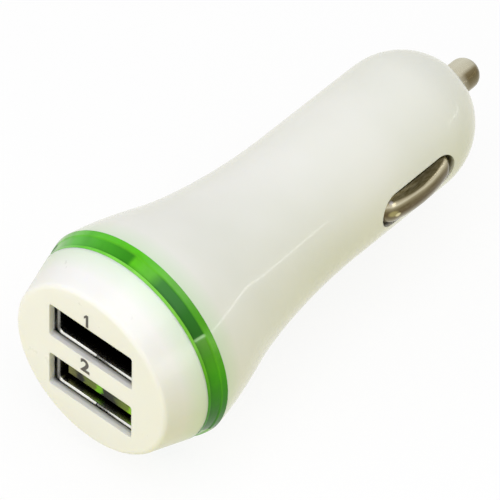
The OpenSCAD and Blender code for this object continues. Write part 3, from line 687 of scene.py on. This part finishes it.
def mouth_outline(half_x, half_z, corner, seam):
    """Points round a port's mouth, clockwise from one side of the seam below it to the other."""
    points = [(-seam / 2, -half_z)]
    for quarter in range(4):
        turn = math.radians(-90 - 90 * quarter)
        centre_x = (half_x - corner) * (-1 if quarter in (0, 1) else 1)
        centre_z = (half_z - corner) * (-1 if quarter in (0, 3) else 1)
        for step in range(-1, MOUTH_CORNER_STEPS + 2):
            whole = min(max(step, 0), MOUTH_CORNER_STEPS)
            a = turn - math.radians(90) * whole / MOUTH_CORNER_STEPS
            lead = (step - whole) * MOUTH_LEAD
            x = centre_x + corner * math.cos(a) + lead * math.sin(a)
            points.append((x, centre_z + corner * math.sin(a) - lead * math.cos(a)))
    points.append((seam / 2, -half_z))
    return points


def add_port_mouth(name, shell, middle_z):
    """The flared front edge of a folded port shell, seated on the shell, open at its seam."""
    low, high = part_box(shell)
    half_x, half_z = (high.x - low.x) / 2, PORT_HEIGHT / 2
    middle_x = (high.x + low.x) / 2
    rows = []
    for out, forward in MOUTH_SECTION:
        corner = MOUTH_CORNER + out * MM
        outline = mouth_outline(half_x + out * MM, half_z + out * MM, corner, MOUTH_SEAM)
        rows.append([(middle_x + x, low.y - forward * MM, middle_z + z) for x, z in outline])
    count = len(rows[0])
    around = len(rows)
    faces = [
        (r * count + i, r * count + i + 1, (r + 1) % around * count + i + 1, (r + 1) % around * count + i)
        for r in range(around) for i in range(count - 1)
    ]
    faces.append([r * count for r in range(around)])
    faces.append([r * count + count - 1 for r in reversed(range(around))])
    mesh = bpy.data.meshes.new(name)
    mesh.from_pydata([point for row in rows for point in row], [], faces)
    solid = bmesh.new()
    solid.from_mesh(mesh)
    bmesh.ops.recalc_face_normals(solid, faces=solid.faces)
    solid.to_mesh(mesh)
    solid.free()
    for face in mesh.polygons:
        face.use_smooth = len(face.vertices) == 4
    mesh.materials.append(bpy.data.materials["port_steel_look"])
    piece = bpy.data.objects.new(name, mesh)
    bpy.context.scene.collection.objects.link(piece)
    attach(piece, "body")


def seen_as_background(s):
    """The ray types, and 1 for the rays that find a white background: the camera's, in gloss and in glass."""
    path = s.node("LightPath")
    seen = s.math("MAXIMUM", path.outputs["Is Camera Ray"], path.outputs["Is Glossy Ray"])
    return path, s.math("MAXIMUM", seen, path.outputs["Is Transmission Ray"])


def add_floor():
    """Pale floor that reads white to the camera and in reflections, and keeps the object's shadow."""
    low = cad_box[0].z - FLOOR_GAP
    half = FLOOR_WIDTH / 2
    corners = [(-half, -half, low), (half, -half, low), (half, half, low), (-half, half, low)]
    mesh = bpy.data.meshes.new("floor")
    mesh.from_pydata(corners, [], [(0, 1, 2, 3)])
    floor = bpy.data.objects.new("floor", mesh)
    bpy.context.scene.collection.objects.link(floor)
    s = Shader("floor_look")
    path, seen = seen_as_background(s)
    paper = s.node("BsdfDiffuse", {"Color": s.mix(path.outputs["Is Camera Ray"], FLOOR_BOUNCE, (1, 1, 1, 1))})
    white = s.node("Emission", {"Color": (1, 1, 1, 1), "Strength": 1.0})
    away = s.node("VectorMath", {0: s.place()}, operation="LENGTH").outputs["Value"]
    own_white = s.ramp(away, FLOOR_SHADOW_REACH / 4, FLOOR_SHADOW_REACH, FLOOR_WHITE_SHARE)
    share = s.math("MULTIPLY", seen, own_white)
    mixed = s.node("MixShader", {0: share, 1: paper.outputs[0], 2: white.outputs[0]})
    s.tree.links.new(mixed.outputs[0], s.output.inputs[0])
    mesh.materials.append(s.material)


def heading(azimuth, elevation):
    """Direction from the object: azimuth from -Y towards +X, elevation above the floor."""
    a, e = math.radians(azimuth), math.radians(elevation)
    return Vector((math.sin(a) * math.cos(e), -math.cos(a) * math.cos(e), math.sin(e)))


def add_softbox(
    name, corner_a, corner_b, distance, height, radiance,
    tint=(1, 1, 1), in_gloss=True, on_matt=True,
):
    """Area lamp that faces the object. Its lower edge runs from one heading to the other.

    distance and height are in mm, and each corner is an azimuth and an elevation in degrees.
    """
    a, b = (heading(*corner) * distance * MM for corner in (corner_a, corner_b))
    along = (b - a).normalized()
    middle = (a + b) / 2
    rise = middle.cross(along).normalized()
    if rise.z < 0:
        rise = -rise
    centre = middle + rise * height * MM / 2
    out = centre.normalized()
    rise = (rise - out * rise.dot(out)).normalized()
    side = rise.cross(out)
    width = (b - a).length
    data = bpy.data.lights.new(name, "AREA")
    data.shape = "RECTANGLE"
    data.size = width
    data.size_y = height * MM
    data.energy = radiance * math.pi * width * height * MM
    data.color = tint
    lamp = bpy.data.objects.new(name, data)
    bpy.context.scene.collection.objects.link(lamp)
    lamp.matrix_world = Matrix.Translation(centre) @ Matrix((side, rise, out)).transposed().to_4x4()
    lamp.visible_diffuse = on_matt
    lamp.visible_glossy = in_gloss
    lamp.visible_camera = False


def add_light():
    """Sky that reads white to the camera and in reflections, and soft lamps round the object."""
    world = bpy.data.worlds.new("world")
    world.use_nodes = True
    bpy.context.scene.world = world
    tree = world.node_tree
    sky = tree.nodes["Background"]
    path = tree.nodes.new("ShaderNodeLightPath")
    seen = path.outputs["Is Camera Ray"]
    for ray in ("Is Glossy Ray", "Is Transmission Ray"):
        either = tree.nodes.new("ShaderNodeMath")
        either.operation = "MAXIMUM"
        tree.links.new(seen, either.inputs[0])
        tree.links.new(path.outputs[ray], either.inputs[1])
        seen = either.outputs[0]
    strength = tree.nodes.new("ShaderNodeMapRange")
    tree.links.new(seen, strength.inputs["Value"])
    strength.inputs["To Min"].default_value = SKY_STRENGTH
    strength.inputs["To Max"].default_value = 1.0
    tree.links.new(strength.outputs["Result"], sky.inputs["Strength"])
    sky.inputs["Color"].default_value = (1, 1, 1, 1)
    add_softbox("overhead", (-150, 52), (-20, 48), distance=420, height=420, radiance=1.14)
    add_softbox(
        "front", (-40, 4), (25, 4), distance=500, height=260, radiance=2.15,
        tint=FRONT_TINT, in_gloss=False,
    )
    add_softbox("right", (60, 30), (130, 30), distance=500, height=300, radiance=0.15, in_gloss=False)
    add_softbox("side_panel", (78, 1), (97, 1), distance=600, height=210, radiance=0.9, on_matt=False)
    add_softbox("side_panel_top", (78, 10), (97, 10), distance=600, height=115, radiance=0.9, on_matt=False)
    add_softbox("streak", (128, 7), (156, 0.5), distance=560, height=14, radiance=3.0, on_matt=False)


add_camera()
add_floor()
add_light()
material_slots = {part["node"]: part["material_slot"] for part in frame["record"]["subparts"]}
smooth_edges = smooth_group()
dress_nodes(material_slots, smooth_edges)
add_coils(smooth_edges)
add_numbers()
add_port_mouth("port_mouth_upper", "usb_shell_upper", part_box("usb_shell_upper")[1].z - PORT_HEIGHT / 2)
add_port_mouth("port_mouth_lower", "usb_shell_lower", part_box("usb_shell_lower")[0].z + PORT_HEIGHT / 2)

bpy.context.scene.view_settings.view_transform = "Standard"
